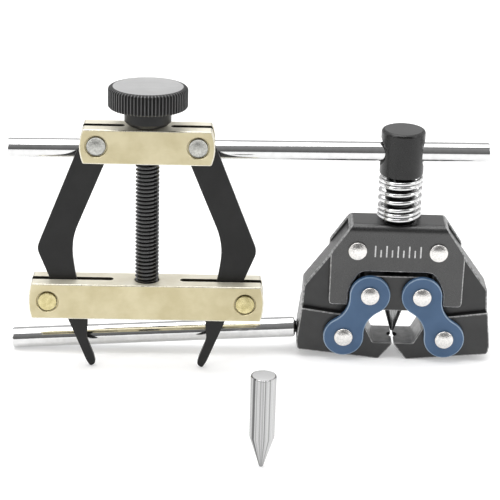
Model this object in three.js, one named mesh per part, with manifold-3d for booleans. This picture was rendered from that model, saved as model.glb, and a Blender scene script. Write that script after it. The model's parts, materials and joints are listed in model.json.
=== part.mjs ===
// Chain tool set: a spring-loaded chain breaker with its tommy bar and holding bar, a chain puller
// that stands in front of the bars and leans on the tommy bar, and one loose spare punch.
// Millimetres, +Z up, fronts face -Y. The breaker is laid out around its screw axis, which is the
// Z axis of its group, with the floor at z = 0. The finished set is centred on its own footprint.
import * as THREE from 'three';
import { mergeVertices } from 'three/addons/utils/BufferGeometryUtils.js';
import Module from 'manifold-3d';

const wasm = await Module();
wasm.setup();

const GAP = 0.3; // clearance between neighbouring pieces
const ROUND = 20; // segments around a bar, a screw or a bore
const PIN_ROUND = 14; // segments around a pin
const KNOB_ROUND = 32;
const CURVE = 3; // segments along each rounded corner
const LINK_CURVE = 9; // segments along each arc of a link
const COIL_STEPS = 10; // segments along each turn of the spring

// Yoke of the breaker: a plate bent into a U, open downwards
const YOKE = { top: 59, foot: 24, depth: 17, plate: 2.2, bend: 2.6, bore: 6.6 };
const YOKE_OUTLINE = { topHalf: 19, shoulderHalf: 27.3, shoulder: 46.8, shoulderRound: 1, footRound: 2 };
const CUTOUT = { top: 39, topHalf: 15, waist: 31, half: 19.4, round: 3 };

// Linkage of the breaker: distances from the screw axis and heights of its pivots
const JAW_PIVOT = { x: 16.4, z: 48 };
const LINK_TOP = { x: 10.6, z: 29.4 };
const LINK_FOOT = { x: 20.7, z: 10.8 };
const PIN_SHANK = 2.5; // radius of all six pins of the breaker
const PIN_HEAD = 3.85;
const HEAD_HEIGHT = 1.4;
const OPEN_PIVOT_PLAY = 0.7; // radial play of the lower link pins in the jaws

// Jaws: a thin tongue between the yoke's plates and a thick foot below it
const TONGUE_DEPTH = 12;
const FOOT_DEPTH = 17;
const SEAT = 7.6; // height of the chain seat on the jaw tips
const TIP_NOTCH = 2.2; // radius of the half-round notch that a chain pin drops through

const LINK = { eye: 8.3, waist: 5.2, plate: 2.4 };
const BLOCK = { foot: 22, top: 37.2, half: 14, footRound: 2, topRound: 2.5 };

// Main screw with its head, the spring around it and the bar through it
const SCREW_RADIUS = 6;
const HEAD = { radius: 8.85, bottom: 78.7, top: 97.6, chamfer: 0.6 };
const SPRING = { radius: 8.15, wire: 0.85, closedPitch: 1.85, openPitch: 3.3 };
const SPRING_TURNS = { bottom: 2.5, open: 3, top: 1.5 };
const BAR = { radius: 4, left: 157.3, right: 35, height: 88, hole: 4.5, chamfer: 0.6 };
const BAR_YAW = THREE.MathUtils.degToRad(3);

// Punches: the same conical tip on the fitted one, which has a stem in the screw, and the spare one
const CONE = { tip: 0.8, taper: 0.31 }; // tip radius, and growth of the radius along the cone
const PUNCH = { radius: 4.6, tipHeight: 9.5, shoulder: 24, stem: 3, top: 36 };
const SPARE = { radius: 4.75, length: 37, chamfer: 0.6 };
const SPARE_PLACE = { x: -53.8, y: -102.3 };

// Holding bar, from the left jaw down to the floor
const HOLDING = { radius: 4.25, stud: 3, studLength: 9, neck: 0.9, chamfer: 0.8 };
const HOLDING_START = new THREE.Vector3(-39.7, -0.2, 9.9);
const HOLDING_END = new THREE.Vector3(-157.3, -6.6, 4.3);

// Chain puller: its own upright frame, x from its screw axis and z from its hook tips
const PULLER = { x: -101, y: -21.4, lean: THREE.MathUtils.degToRad(2.5), yaw: THREE.MathUtils.degToRad(1.5) };
const BLOCK_DEPTH = 14.5;
const UPPER_BLOCK = { bottom: 87.8, top: 101.7, half: 25, bulge: 1.4, slotEnd: 9 };
const LOWER_BLOCK = { bottom: 22.9, top: 37.7, half: 45.8, bulge: 1.1, slotEnd: 13.3 };
const UPPER_RIVET = { x: 19.8, z: 94.9 };
const LOWER_PIN = { x: 39.4, z: 30.2 };
const RECESS = { radius: 4.3, depth: 1.1 };
const RIVET = { shank: 2.3, head: 3.8, proud: 0.2, bevel: 0.8, bevelDepth: 0.5 };
const CROSS_PIN_SHANK = 3.2;
const ARM = { thickness: 2.6, half: 6, elbowX: 43.9, elbowZ: 50.6, tipX: 24.3, tipZ: 2.4 };
const ARM_INNER = [ // corners of an arm's inner side, from the hook up to the rivet
  [20.5, 1.4, 1.4], [21.3, 4.6, 1], [24.3, 12.6, 1.2], [23.5, 20.8, 4], [28.2, 37.5, 6], [30.4, 53.5, 8],
];
const PULLER_SCREW = { radius: 4.76, bottom: 25, chamfer: 1, stem: 4, stemTop: 114 };
const RING = { inner: 4.4, outer: 6.5, bottom: 88.6, thickness: 1.2 };
const KNOB = { bottom: 102.6, collar: 9.2, neck: 109.3, radius: 15.6, top: 117.6, flat: 13.7, bevel: 1.3 };

const COLOURS = {
  blackOxide: { color: 0x474747, roughness: 0.55, metalness: 0.6 },
  blackPlate: { color: 0x333333, roughness: 0.6, metalness: 0.5 },
  blueLink: { color: 0x526a86, roughness: 0.45, metalness: 0.3 },
  brightSteel: { color: 0xd8d8d6, roughness: 0.2, metalness: 1 },
  yellowZinc: { color: 0xd6cba4, roughness: 0.35, metalness: 0.7 },
  brass: { color: 0xded39d, roughness: 0.3, metalness: 0.9 },
};

const AXES = {
  front: new THREE.Matrix4().makeBasis(
    new THREE.Vector3(1, 0, 0), new THREE.Vector3(0, 0, 1), new THREE.Vector3(0, -1, 0)),
  side: new THREE.Matrix4().makeBasis(
    new THREE.Vector3(0, 1, 0), new THREE.Vector3(0, 0, 1), new THREE.Vector3(1, 0, 0)),
};

// ---- solids -------------------------------------------------------------------------------------

function toSolid(geometry) {
  const bare = geometry.clone();
  bare.deleteAttribute('normal');
  bare.deleteAttribute('uv');
  const merged = mergeVertices(bare, 1e-4);
  return new wasm.Manifold(new wasm.Mesh({
    numProp: 3,
    vertProperties: new Float32Array(merged.attributes.position.array),
    triVerts: new Uint32Array(merged.index.array),
  }));
}

function toGeometry(solid) {
  const mesh = solid.getMesh();
  const geometry = new THREE.BufferGeometry();
  geometry.setAttribute('position', new THREE.BufferAttribute(new Float32Array(mesh.vertProperties), 3));
  geometry.setIndex(new THREE.BufferAttribute(new Uint32Array(mesh.triVerts), 1));
  geometry.computeVertexNormals();
  return geometry;
}

function cut(geometry, ...tools) {
  return toGeometry(tools.reduce((body, tool) => body.subtract(toSolid(tool)), toSolid(geometry)));
}

function join(geometry, ...others) {
  return toGeometry(others.reduce((body, other) => body.add(toSolid(other)), toSolid(geometry)));
}

function common(geometry, other) {
  return toGeometry(toSolid(geometry).intersect(toSolid(other)));
}

// A closed outline in x and z; each corner is [x, z, setback], and a setback rounds that corner.
function outline(corners, side = 1) {
  const points = corners.map(([x, z]) => new THREE.Vector2(side * x, z));
  const shape = new THREE.Shape();
  points.forEach((corner, i) => {
    const setback = corners[i][2] ?? 0;
    const before = points[(i + points.length - 1) % points.length];
    const after = points[(i + 1) % points.length];
    const entry = before.clone().sub(corner).setLength(setback).add(corner);
    const exit = after.clone().sub(corner).setLength(setback).add(corner);
    if (i === 0) shape.moveTo(entry.x, entry.y);
    else shape.lineTo(entry.x, entry.y);
    if (setback) shape.quadraticCurveTo(corner.x, corner.y, exit.x, exit.y);
  });
  shape.closePath();
  return shape;
}

// A flat piece seen from the front, from y = front to y = back.
function frontPlate(shape, front, back) {
  const geometry = new THREE.ExtrudeGeometry(shape, {
    depth: back - front, bevelEnabled: false, curveSegments: CURVE });
  return geometry.applyMatrix4(AXES.front).translate(0, back, 0);
}

// A cylinder along Y, from y = front to y = back.
function crossCylinder(radius, x, z, front, back) {
  const geometry = new THREE.CylinderGeometry(radius, radius, back - front, ROUND);
  return geometry.translate(x, (front + back) / 2, z);
}

// A cylinder along Z, from z = bottom to z = top.
function upright(radius, bottom, top) {
  const geometry = new THREE.CylinderGeometry(radius, radius, top - bottom, ROUND);
  return geometry.rotateX(Math.PI / 2).translate(0, 0, (bottom + top) / 2);
}

// A turned piece around Z; the profile is [radius, z] from the bottom of the axis to its top.
function turned(profile, segments = ROUND) {
  const points = profile.map(([radius, z]) => new THREE.Vector2(radius, z));
  return new THREE.LatheGeometry(points, segments).rotateX(Math.PI / 2);
}

function piece(name, geometry, finish) {
  const mesh = new THREE.Mesh(geometry, new THREE.MeshStandardMaterial(COLOURS[finish]));
  mesh.name = name;
  return mesh;
}

// ---- breaker ------------------------------------------------------------------------------------

function yokeSection() {
  const half = YOKE.depth / 2;
  const inner = half - YOKE.plate;
  const roof = YOKE.top - YOKE.plate;
  const innerBend = YOKE.bend - YOKE.plate;
  return outline([
    [-half, YOKE.foot], [-half, YOKE.top, YOKE.bend], [half, YOKE.top, YOKE.bend], [half, YOKE.foot],
    [inner, YOKE.foot], [inner, roof, innerBend], [-inner, roof, innerBend], [-inner, YOKE.foot],
  ]);
}

function yokeFace() {
  const { topHalf, shoulderHalf, shoulder, shoulderRound, footRound } = YOKE_OUTLINE;
  const right = [
    [CUTOUT.topHalf, CUTOUT.top, CUTOUT.round], [CUTOUT.half, CUTOUT.waist, CUTOUT.round],
    [CUTOUT.half, YOKE.foot], [shoulderHalf, YOKE.foot, footRound],
    [shoulderHalf, shoulder, shoulderRound], [topHalf, YOKE.top],
  ];
  const left = right.map(([x, z, setback]) => [-x, z, setback]).reverse();
  return outline([...right, ...left]);
}

function yoke() {
  const width = 2 * YOKE_OUTLINE.shoulderHalf + 2;
  const section = new THREE.ExtrudeGeometry(yokeSection(), {
    depth: width, bevelEnabled: false, curveSegments: CURVE });
  section.applyMatrix4(AXES.side).translate(-width / 2, 0, 0);
  const face = frontPlate(yokeFace(), -YOKE.depth, YOKE.depth);
  const holes = [-1, 1].map((side) =>
    crossCylinder(PIN_SHANK + GAP, side * JAW_PIVOT.x, JAW_PIVOT.z, -YOKE.depth, YOKE.depth));
  const screwHole = upright(YOKE.bore, YOKE.top - YOKE.bend, YOKE.top + YOKE.bend);
  return cut(common(section, face), screwHole, ...holes);
}

// A pin with a domed head at both ends, lying along Y over the given depth of plates.
function domedPin(depth, place, side) {
  const seat = depth / 2 + GAP;
  const crown = seat + HEAD_HEIGHT;
  const edge = seat + HEAD_HEIGHT / 3;
  const shoulder = PIN_HEAD * 0.75;
  const geometry = turned([
    [0, -crown], [shoulder, -crown + HEAD_HEIGHT / 4], [PIN_HEAD, -edge], [PIN_HEAD, -seat],
    [PIN_SHANK, -seat], [PIN_SHANK, seat], [PIN_HEAD, seat], [PIN_HEAD, edge],
    [shoulder, crown - HEAD_HEIGHT / 4], [0, crown],
  ], PIN_ROUND);
  return geometry.rotateX(Math.PI / 2).translate(side * place.x, 0, place.z);
}

const JAW_FOOT = [
  [0.4, SEAT - 1], [0.4, SEAT], [8.2, SEAT, 0.6], [11.2, 13.4, 0.8], [14.6, 18.8, 1], [38.3, 22],
  [40, 7, 1.2], [39.3, 3.3, 1.2], [5.6, 0, 0.8],
];
const JAW_TONGUE = [
  [14.6, 17], [14.6, 38, 1.5], [12, 40.5, 1], [12, 54.9, 1.5], [20.4, 54.9, 1], [37.7, 31.2, 1],
  [38.4, 19],
];

function jaw(side) {
  const footPiece = frontPlate(outline(JAW_FOOT, side), -FOOT_DEPTH / 2, FOOT_DEPTH / 2);
  const tongue = frontPlate(outline(JAW_TONGUE, side), -TONGUE_DEPTH / 2, TONGUE_DEPTH / 2);
  const pivotHole = crossCylinder(
    PIN_SHANK + GAP, side * JAW_PIVOT.x, JAW_PIVOT.z, -FOOT_DEPTH, FOOT_DEPTH);
  const linkHole = crossCylinder(
    PIN_SHANK + OPEN_PIVOT_PLAY, side * LINK_FOOT.x, LINK_FOOT.z, -FOOT_DEPTH, FOOT_DEPTH);
  const notch = upright(TIP_NOTCH, 0, SEAT * 2);
  return cut(join(footPiece, tongue), pivotHole, linkHole, notch);
}

function leftJaw() {
  const hole = alongHoldingBar(new THREE.CylinderGeometry(
    HOLDING.stud + GAP, HOLDING.stud + GAP, 2 * (HOLDING.studLength + GAP), ROUND));
  return cut(jaw(-1), hole);
}

function linkOutline(length) {
  const { eye, waist } = LINK;
  const half = length / 2;
  const waistRadius = (half * half + waist * waist - eye * eye) / (2 * (eye - waist));
  const waistX = waist + waistRadius;
  const turn = Math.atan2(half, waistX);
  const shape = new THREE.Shape();
  shape.absarc(0, 0, eye, -turn, Math.PI + turn, false);
  shape.absarc(-waistX, -half, waistRadius, turn, -turn, true);
  shape.absarc(0, -length, eye, Math.PI - turn, 2 * Math.PI + turn, false);
  shape.absarc(waistX, -half, waistRadius, Math.PI + turn, Math.PI - turn, true);
  [0, -length].forEach((z) => {
    const hole = new THREE.Path();
    hole.absarc(0, z, PIN_SHANK + GAP, 0, 2 * Math.PI, true);
    shape.holes.push(hole);
  });
  return shape;
}

// One link plate, hung from its upper pin; layer is -1 for the front plate and 1 for the back one.
function link(name, side, layer) {
  const run = LINK_FOOT.x - LINK_TOP.x;
  const drop = LINK_TOP.z - LINK_FOOT.z;
  const inner = FOOT_DEPTH / 2 + GAP;
  const near = layer < 0 ? -inner - LINK.plate : inner;
  const geometry = new THREE.ExtrudeGeometry(linkOutline(Math.hypot(run, drop)), {
    depth: LINK.plate, bevelEnabled: false, curveSegments: LINK_CURVE });
  geometry.applyMatrix4(AXES.front).translate(0, near + LINK.plate, 0);
  const mesh = piece(name, geometry, 'blueLink');
  mesh.position.set(side * LINK_TOP.x, 0, LINK_TOP.z);
  mesh.rotation.y = -side * Math.atan2(run, drop);
  return mesh;
}

function pusherBlock() {
  const { foot, top, half, footRound, topRound } = BLOCK;
  const shape = outline([
    [-half, foot, footRound], [half, foot, footRound], [half, top, topRound], [-half, top, topRound],
  ]);
  const body = frontPlate(shape, -FOOT_DEPTH / 2, FOOT_DEPTH / 2);
  const nut = upright(SCREW_RADIUS + GAP, foot - 1, top + 1);
  const pinHoles = [-1, 1].map((side) =>
    crossCylinder(PIN_SHANK + GAP, side * LINK_TOP.x, LINK_TOP.z, -FOOT_DEPTH, FOOT_DEPTH));
  return cut(body, nut, ...pinHoles);
}

function mainScrew() {
  const { radius, bottom, top, chamfer } = HEAD;
  const end = PUNCH.shoulder + GAP;
  const body = turned([
    [0, end], [SCREW_RADIUS - chamfer, end], [SCREW_RADIUS, end + chamfer], [SCREW_RADIUS, bottom],
    [radius - chamfer, bottom], [radius, bottom + chamfer], [radius, top - chamfer],
    [radius - chamfer, top], [0, top],
  ]);
  const socket = upright(PUNCH.stem + GAP, end - 1, PUNCH.top + GAP);
  const hole = new THREE.CylinderGeometry(BAR.hole, BAR.hole, 4 * radius, ROUND);
  hole.rotateZ(Math.PI / 2).rotateZ(BAR_YAW).translate(0, 0, BAR.height);
  return cut(body, socket, hole);
}

class SpringPath extends THREE.Curve {
  getPoint(t) {
    const { bottom, open, top } = SPRING_TURNS;
    const turns = t * (bottom + open + top);
    const openTurns = Math.min(Math.max(turns - bottom, 0), open);
    const rise = (turns - openTurns) * SPRING.closedPitch + openTurns * SPRING.openPitch;
    const angle = 2 * Math.PI * turns;
    const start = YOKE.top + GAP + SPRING.wire;
    return new THREE.Vector3(
      SPRING.radius * Math.cos(angle), SPRING.radius * Math.sin(angle), start + rise);
  }
}

function returnSpring() {
  const section = new THREE.Shape().absarc(0, 0, SPRING.wire, 0, 2 * Math.PI, false);
  const turns = SPRING_TURNS.bottom + SPRING_TURNS.open + SPRING_TURNS.top;
  return new THREE.ExtrudeGeometry(section, {
    extrudePath: new SpringPath(), steps: turns * COIL_STEPS, curveSegments: 3, bevelEnabled: false });
}

function tommyBar() {
  const { radius, left, right, chamfer, height } = BAR;
  const bar = turned([
    [0, -left], [radius - chamfer, -left], [radius, -left + chamfer],
    [radius, right - chamfer], [radius - chamfer, right], [0, right],
  ]);
  return bar.rotateY(Math.PI / 2).rotateZ(BAR_YAW).translate(0, 0, height);
}

function coneTop(radius) {
  return (radius - CONE.tip) / CONE.taper;
}

function fittedPunch() {
  const { radius, tipHeight, shoulder, stem, top } = PUNCH;
  return turned([
    [0, tipHeight], [CONE.tip, tipHeight], [radius, tipHeight + coneTop(radius)],
    [radius, shoulder], [stem, shoulder], [stem, top], [0, top],
  ]);
}

// Lays a piece that was made along Y on the axis of the holding bar, its middle at the jaw's face.
function alongHoldingBar(geometry) {
  const direction = HOLDING_END.clone().sub(HOLDING_START).normalize();
  const turn = new THREE.Quaternion().setFromUnitVectors(new THREE.Vector3(0, 1, 0), direction);
  return geometry.applyQuaternion(turn).translate(...HOLDING_START.toArray());
}

function holdingBar() {
  const { radius, stud, studLength, neck, chamfer } = HOLDING;
  const length = HOLDING_START.distanceTo(HOLDING_END);
  const profile = [
    [0, -studLength], [stud, -studLength], [stud, neck], [radius - chamfer, neck],
    [radius, neck + chamfer], [radius, length - chamfer], [radius - chamfer, length], [0, length],
  ];
  const points = profile.map(([r, along]) => new THREE.Vector2(r, along));
  return alongHoldingBar(new THREE.LatheGeometry(points, ROUND));
}

function breaker() {
  const group = new THREE.Group();
  group.add(piece('yoke', yoke(), 'blackOxide'));
  group.add(piece('jaw_left', leftJaw(), 'blackOxide'));
  group.add(piece('jaw_right', jaw(1), 'blackOxide'));
  group.add(piece('pusher_block', pusherBlock(), 'blackOxide'));
  for (const [hand, side] of [['left', -1], ['right', 1]]) {
    const outerLinks = FOOT_DEPTH + 2 * (GAP + LINK.plate);
    group.add(piece(`jaw_pivot_pin_${hand}`, domedPin(YOKE.depth, JAW_PIVOT, side), 'brightSteel'));
    group.add(piece(`upper_link_pin_${hand}`, domedPin(outerLinks, LINK_TOP, side), 'brightSteel'));
    group.add(piece(`lower_link_pin_${hand}`, domedPin(outerLinks, LINK_FOOT, side), 'brightSteel'));
    group.add(link(`link_front_${hand}`, side, -1));
    group.add(link(`link_back_${hand}`, side, 1));
  }
  group.add(piece('main_screw', mainScrew(), 'blackOxide'));
  group.add(piece('return_spring', returnSpring(), 'brightSteel'));
  group.add(piece('tommy_bar', tommyBar(), 'brightSteel'));
  group.add(piece('punch', fittedPunch(), 'brightSteel'));
  group.add(piece('holding_bar', holdingBar(), 'brightSteel'));
  return group;
}

// ---- puller -------------------------------------------------------------------------------------

// A block with bulged ends, a slot for an arm at each end and a recessed cross hole per arm.
function slottedBlock(size, crossHole, shank, bore) {
  const { bottom, top, half, bulge, slotEnd } = size;
  const height = top - bottom;
  const middle = (bottom + top) / 2;
  const shape = new THREE.Shape();
  shape.moveTo(-half, bottom);
  shape.lineTo(half, bottom);
  shape.quadraticCurveTo(half + 2 * bulge, middle, half, top);
  shape.lineTo(-half, top);
  shape.quadraticCurveTo(-half - 2 * bulge, middle, -half, bottom);
  const tools = [upright(bore, bottom - 1, top + 1)];
  for (const side of [-1, 1]) {
    const slotLength = half + 2 * bulge - slotEnd;
    const slot = new THREE.BoxGeometry(slotLength, ARM.thickness + 2 * GAP, height + 2);
    tools.push(slot.translate(side * (slotEnd + slotLength / 2), 0, middle));
    tools.push(crossCylinder(shank + GAP, side * crossHole.x, crossHole.z, -BLOCK_DEPTH, BLOCK_DEPTH));
    for (const face of [-1, 1]) {
      const floor = face * (BLOCK_DEPTH / 2 - RECESS.depth);
      const [front, back] = [floor, face * BLOCK_DEPTH].sort((a, b) => a - b);
      tools.push(crossCylinder(RECESS.radius, side * crossHole.x, crossHole.z, front, back));
    }
  }
  return cut(frontPlate(shape, -BLOCK_DEPTH / 2, BLOCK_DEPTH / 2), ...tools);
}

function upperBlock() {
  const block = slottedBlock(UPPER_BLOCK, UPPER_RIVET, RIVET.shank, PULLER_SCREW.stem + GAP);
  const ringSeat = upright(RING.outer + GAP, UPPER_BLOCK.bottom - 1, RING.bottom + RING.thickness + GAP);
  return cut(block, ringSeat);
}

// A rivet or cross pin that fills the recesses of a block from front to back.
function recessedPin(shank, place, side) {
  const seat = BLOCK_DEPTH / 2 - RECESS.depth + GAP;
  const face = BLOCK_DEPTH / 2 + RIVET.proud;
  const rim = face - RIVET.bevelDepth;
  const flat = RIVET.head - RIVET.bevel;
  const geometry = turned([
    [0, -face], [flat, -face], [RIVET.head, -rim], [RIVET.head, -seat], [shank, -seat],
    [shank, seat], [RIVET.head, seat], [RIVET.head, rim], [flat, face], [0, face],
  ], PIN_ROUND);
  return geometry.rotateX(Math.PI / 2).translate(side * place.x, 0, place.z);
}

// One arm: a flat bar that runs out from the rivet to an elbow and back in to a hooked tip.
function arm(side) {
  const { thickness, half, elbowX, elbowZ, tipX, tipZ } = ARM;
  const { x, z } = UPPER_RIVET;
  const outward = Math.atan2(elbowX - x - half, z - elbowZ);
  const acrossX = half * Math.cos(outward);
  const acrossZ = half * Math.sin(outward);
  const shape = outline([
    [x + acrossX, z + acrossZ], [elbowX, elbowZ, 2.5], [tipX, tipZ, 1.4], [tipX - 1.6, 0, 1],
    ...ARM_INNER, [x - acrossX, z - acrossZ],
  ], side);
  const bar = frontPlate(shape, -thickness / 2, thickness / 2);
  const eye = crossCylinder(half, side * x, z, -thickness / 2, thickness / 2);
  const hole = crossCylinder(RIVET.shank + GAP, side * x, z, -thickness, thickness);
  return cut(join(bar, eye), hole);
}

function pullerScrew() {
  const { radius, bottom, chamfer, stem, stemTop } = PULLER_SCREW;
  const journal = UPPER_BLOCK.bottom;
  return turned([
    [0, bottom], [radius - chamfer, bottom], [radius, bottom + chamfer], [radius, journal],
    [stem, journal], [stem, stemTop], [0, stemTop],
  ]);
}

function pullerKnob() {
  const { bottom, collar, neck, radius, top, flat, bevel } = KNOB;
  const body = turned([
    [0, bottom], [collar - bevel, bottom], [collar, bottom + bevel], [collar, neck],
    [radius - bevel / 2, neck], [radius, neck + bevel / 2], [radius, top - bevel], [flat, top],
    [0, top],
  ], KNOB_ROUND);
  const { stem, stemTop } = PULLER_SCREW;
  return cut(body, upright(stem + GAP, bottom - 1, stemTop + GAP));
}

function retainingRing() {
  const { inner, outer, bottom, thickness } = RING;
  const disc = upright(outer, bottom, bottom + thickness);
  return cut(disc, upright(inner, bottom - 1, bottom + thickness + 1));
}

function puller() {
  const group = new THREE.Group();
  const lowerBlock = slottedBlock(LOWER_BLOCK, LOWER_PIN, CROSS_PIN_SHANK, PULLER_SCREW.radius + GAP);
  group.add(piece('puller_upper_block', upperBlock(), 'yellowZinc'));
  group.add(piece('puller_lower_block', lowerBlock, 'yellowZinc'));
  for (const [hand, side] of [['left', -1], ['right', 1]]) {
    group.add(piece(`puller_arm_${hand}`, arm(side), 'blackPlate'));
    group.add(piece(
      `puller_upper_rivet_${hand}`, recessedPin(RIVET.shank, UPPER_RIVET, side), 'brightSteel'));
    group.add(piece(
      `puller_lower_pin_${hand}`, recessedPin(CROSS_PIN_SHANK, LOWER_PIN, side), 'brass'));
  }
  group.add(piece('puller_screw', pullerScrew(), 'blackPlate'));
  group.add(piece('puller_knob', pullerKnob(), 'blackPlate'));
  group.add(piece('puller_retaining_ring', retainingRing(), 'brightSteel'));
  const lift = ARM.thickness / 2 * Math.sin(PULLER.lean);
  group.position.set(PULLER.x, PULLER.y, lift);
  group.rotation.set(-PULLER.lean, 0, PULLER.yaw, 'ZYX');
  return group;
}

function sparePunch() {
  const { radius, length, chamfer } = SPARE;
  const geometry = turned([
    [0, 0], [CONE.tip, 0], [radius, coneTop(radius)], [radius, length - chamfer],
    [radius - chamfer, length], [0, length],
  ]);
  const mesh = piece('spare_punch', geometry, 'brightSteel');
  mesh.position.set(SPARE_PLACE.x, SPARE_PLACE.y, 0);
  return mesh;
}

const group = new THREE.Group();
group.add(breaker(), puller(), sparePunch());

// Origin: the middle of the footprint, on the floor.
group.updateMatrixWorld(true);
const middle = new THREE.Box3().setFromObject(group, true).getCenter(new THREE.Vector3());
group.position.set(-middle.x, -middle.y, 0);

export default group;
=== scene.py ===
import json
import math

import bmesh
import bpy
from mathutils import Matrix, Vector


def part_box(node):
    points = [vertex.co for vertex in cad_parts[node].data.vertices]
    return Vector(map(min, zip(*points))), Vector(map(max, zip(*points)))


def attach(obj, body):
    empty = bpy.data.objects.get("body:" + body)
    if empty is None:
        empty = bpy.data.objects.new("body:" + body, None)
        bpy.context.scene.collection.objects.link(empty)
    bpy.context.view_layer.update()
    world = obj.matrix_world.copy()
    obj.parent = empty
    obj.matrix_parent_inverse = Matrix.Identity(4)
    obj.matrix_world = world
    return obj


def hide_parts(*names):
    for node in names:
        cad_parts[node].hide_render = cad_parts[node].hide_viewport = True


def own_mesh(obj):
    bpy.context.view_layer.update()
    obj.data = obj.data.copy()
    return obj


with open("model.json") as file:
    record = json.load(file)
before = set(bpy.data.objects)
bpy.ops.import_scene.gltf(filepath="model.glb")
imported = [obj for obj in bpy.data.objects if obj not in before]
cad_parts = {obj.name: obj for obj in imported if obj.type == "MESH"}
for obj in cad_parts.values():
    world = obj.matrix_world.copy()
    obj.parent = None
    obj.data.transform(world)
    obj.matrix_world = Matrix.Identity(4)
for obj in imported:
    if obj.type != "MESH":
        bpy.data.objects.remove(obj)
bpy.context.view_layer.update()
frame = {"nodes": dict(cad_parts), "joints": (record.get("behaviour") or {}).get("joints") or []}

# Looks of the chain tool set. Every shape is made in millimetres in one of four local frames: the
# breaker's (screw axis upright at x = y = 0, floor at z = 0), the tommy bar's, the holding bar's
# and the leaning puller's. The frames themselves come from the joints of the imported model.

MM = 0.001
FINE = 72  # segments around a bar or a head
CURVE = 8  # segments along a rounded corner
CLEAR = 0.3  # clearance between neighbouring pieces

YOKE = {"top": 59, "foot": 24, "depth": 17, "plate": 2.2, "bend": 3.4, "bore": 6.6}
YOKE_OUTLINE = {"top_half": 19, "shoulder_half": 27.3, "shoulder": 46.8, "foot_round": 2}
CUTOUT = {"top": 39, "top_half": 15, "waist": 31, "half": 19.4, "round": 3}
PIN = {"shank": 2.5, "head": 3.85, "height": 1.4}
OPEN_PIVOT_PLAY = 0.7
LINK_FOOT = (20.7, 10.8)
TONGUE_DEPTH = 12
FOOT_DEPTH = 17
SEAT = 7.6
TIP_NOTCH = 2.2
LINK = {"eye": 8.3, "waist": 5.2, "plate": 2.4}
BLOCK = {"foot": 22, "top": 37.2, "half": 14}
SCREW = {"radius": 6, "pitch": 1.75, "bottom": 24.3, "neck": 4.7}
HEAD = {"radius": 8.85, "bottom": 78.7, "top": 97.6, "chamfer": 0.6}
SPRING = {"radius": 8.15, "wire": 0.85, "closed": 1.85, "open": 3.3}
SPRING_TURNS = {"bottom": 2.5, "open": 3, "top": 1.5}
BAR = {"radius": 4, "hole": 4.5, "chamfer": 0.6}
PUNCH = {"radius": 4.6, "tip": 9.5, "shoulder": 24, "stem": 3, "top": 36}
SPARE = {"radius": 4.75, "length": 37, "chamfer": 0.6}
CONE = {"tip": 0.8, "taper": 0.31}
HOLDING = {"radius": 4.25, "stud": 3, "stud_length": 9, "neck": 0.9, "chamfer": 0.8}
HOLDING_START = Vector((-39.7, -0.2, 9.9))
HOLDING_END = Vector((-157.3, -6.6, 4.3))
BLOCK_DEPTH = 14.5
UPPER_BLOCK = {"bottom": 87.8, "top": 101.7, "half": 25, "bulge": 1.4, "slot_end": 9}
LOWER_BLOCK = {"bottom": 22.9, "top": 37.7, "half": 45.8, "bulge": 1.1, "slot_end": 13.3}
UPPER_RIVET = (19.8, 94.9)
LOWER_PIN = (39.4, 30.2)
RECESS = {"radius": 4.3, "depth": 1.1, "lip": 0.25, "mouth": 0.6, "over": 0.35}
RIVET_HEAD = 3.8
RIVET_SHANK = 2.3
CROSS_PIN_SHANK = 3.2
ARM = {"thickness": 2.6, "half": 6, "elbow": (43.9, 50.6), "tip": (24.3, 2.4)}
ARM_INNER = ((24.3, 12.6, 1.2), (23.5, 20.8, 4), (28.2, 37.5, 6), (30.4, 53.5, 8))
PULLER_SCREW = {"radius": 4.76, "pitch": 1.5875, "bottom": 25, "stem": 4, "stem_top": 114}
KNOB = {"bottom": 102.6, "collar": 9.2, "neck": 109.3, "radius": 15.6, "top": 117.6, "flat": 13.7,
        "bevel": 1.3}
FLUTES = {"count": 70, "depth": 0.6}
EDGE = {"sheet": 0.5, "tongue": 0.7, "link": 0.45, "block": 0.4, "head": 0.3, "arm": 0.3}
LEVEL = 0.01  # how far under a level top its own faces may lie
SEAT_WEAR_AND_LIGHT_AREA = {"half": 11.4, "under": 0.6, "over": 6, "facing": 0.2}
TICKS = {"count": 9, "pitch": 2.3, "width": 0.55, "tall": 5.0, "short": 3.2, "thickness": 0.04}

JOINTS = {joint["name"]: joint for joint in frame["joints"]}
SIDES = (("left", -1), ("right", 1))


# ---- local frames --------------------------------------------------------------------------------

def breaker_frame():
    x, y, _ = JOINTS["screw_turn"]["pos_m"]
    return Matrix.Translation((x, y, 0)) @ Matrix.Scale(MM, 4)


def pivot(joint):
    """x and z of a joint of the breaker, in its frame, in millimetres."""
    place = BREAKER.inverted() @ Vector(JOINTS[joint]["pos_m"])
    return place.x, place.z


def bar_frame():
    """The tommy bar's own frame: its Z is the direction that the bar slides in."""
    low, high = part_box("tommy_bar")
    along = Vector(JOINTS["bar_slide"]["axis"])
    turn = Vector((0, 0, 1)).rotation_difference(along).to_matrix().to_4x4()
    middle = Matrix.Translation((low + high) / 2)
    return middle @ turn @ Matrix.Scale(MM, 4)


def holding_frame():
    """The holding bar's frame: its Z runs from the jaw's face to the bar's far end."""
    turn = Vector((0, 0, 1)).rotation_difference(HOLDING_END - HOLDING_START)
    return BREAKER @ Matrix.Translation(HOLDING_START) @ turn.to_matrix().to_4x4()


def puller_frame():
    across = Vector(JOINTS["puller_arm_left_swing"]["axis"])
    up = Vector(JOINTS["knob_turn"]["axis"])
    basis = Matrix((across.cross(up), across, up)).transposed().to_4x4()
    return Matrix.Translation(JOINTS["knob_turn"]["pos_m"]) @ basis @ Matrix.Scale(MM, 4)


def spare_frame():
    low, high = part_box("spare_punch")
    middle = (low + high) / 2
    return Matrix.Translation((middle.x, middle.y, low.z)) @ Matrix.Scale(MM, 4)


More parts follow.
